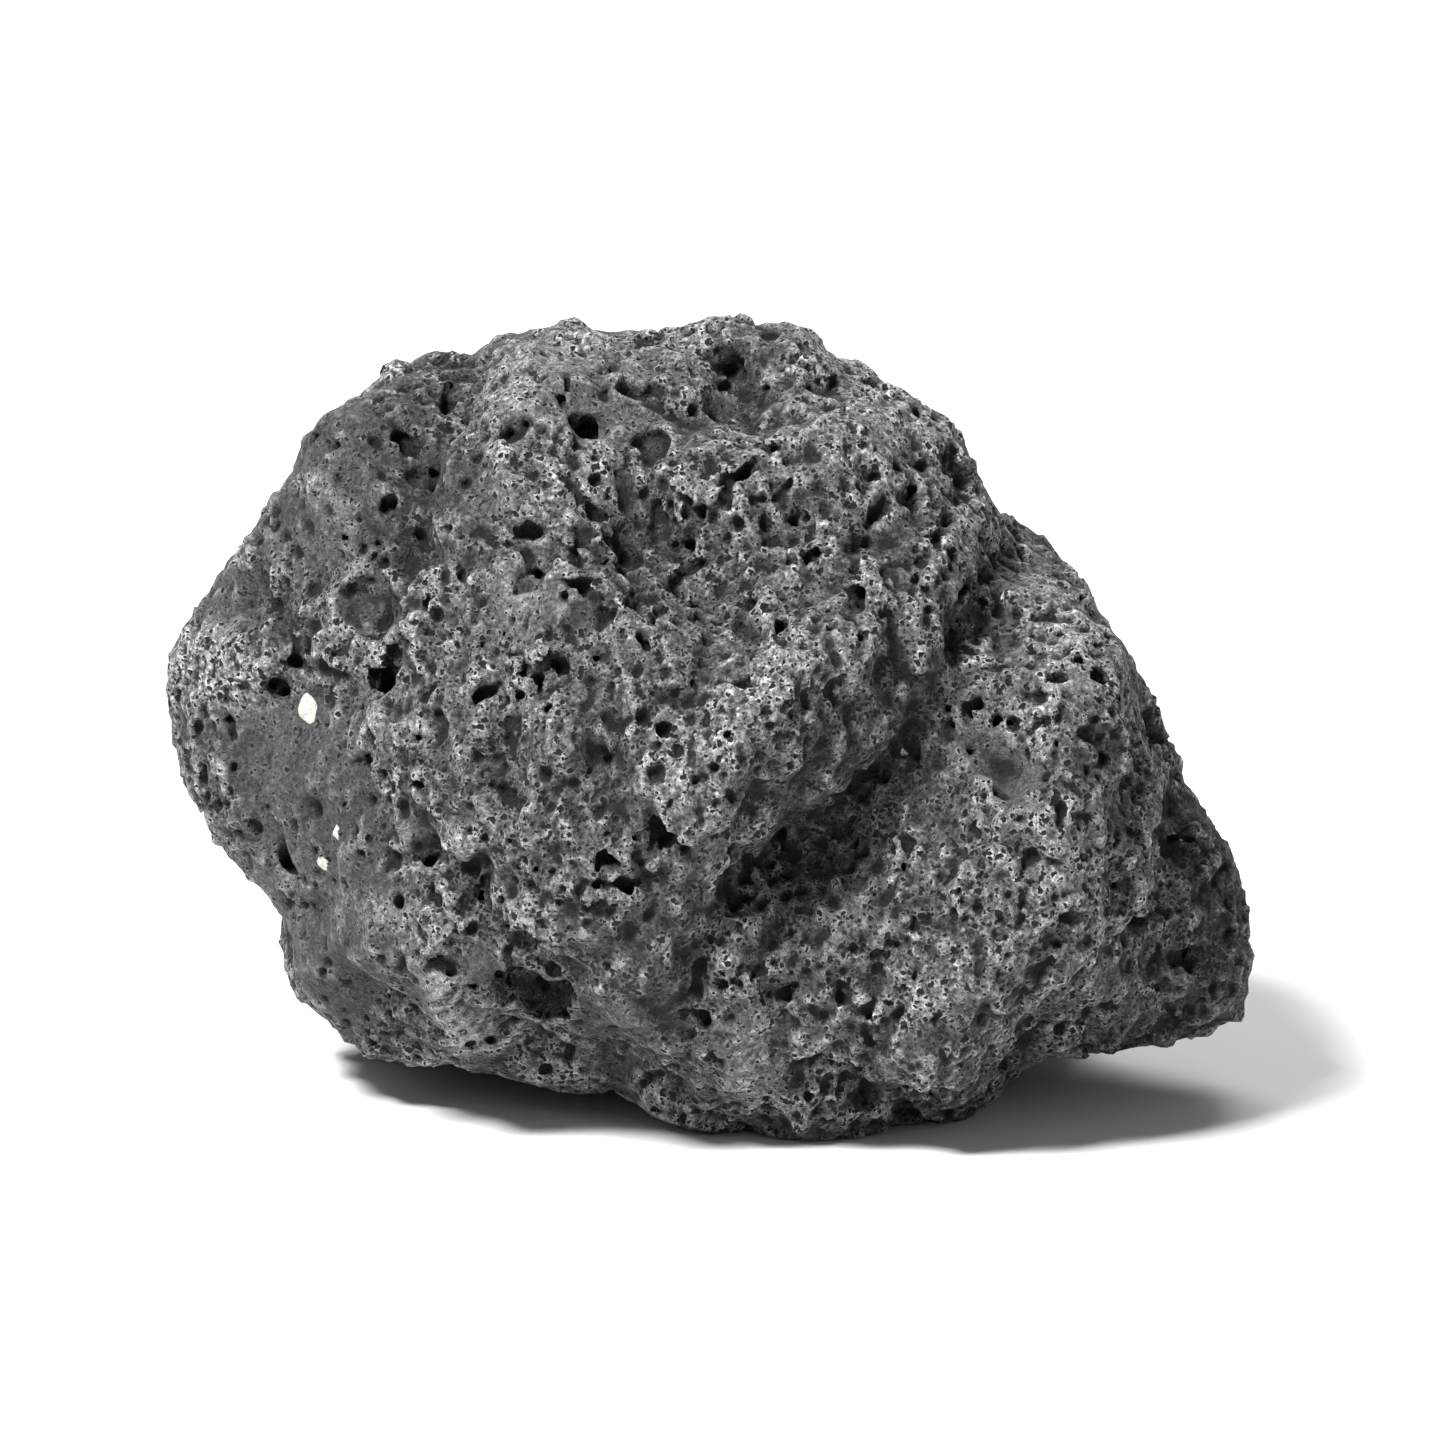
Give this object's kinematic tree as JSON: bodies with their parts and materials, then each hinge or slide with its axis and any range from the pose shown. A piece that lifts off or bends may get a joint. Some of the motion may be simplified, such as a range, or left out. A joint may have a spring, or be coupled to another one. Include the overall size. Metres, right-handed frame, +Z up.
{
  "type": "black lava rock",
  "caption": "Lump of black lava rock full of gas bubbles, with a slanting valley, a brow ridge and a hump, that lies on worn flats as an aquarium or garden decoration.",
  "frame": {"origin": "middle of the rock's box, at the height of the ground that it rests on", "axes": "+X to the right along the longest side, +Y away from the viewer who sees the front, +Z up"},
  "size_m": [0.1675, 0.1239, 0.1223],
  "materials": {
    "lava_stone": "dry, matt, rough and full of burst gas bubbles"
  },
  "bodies": {
    "root": {"lava_rock": "lava_stone"}
  },
  "joints": []
}
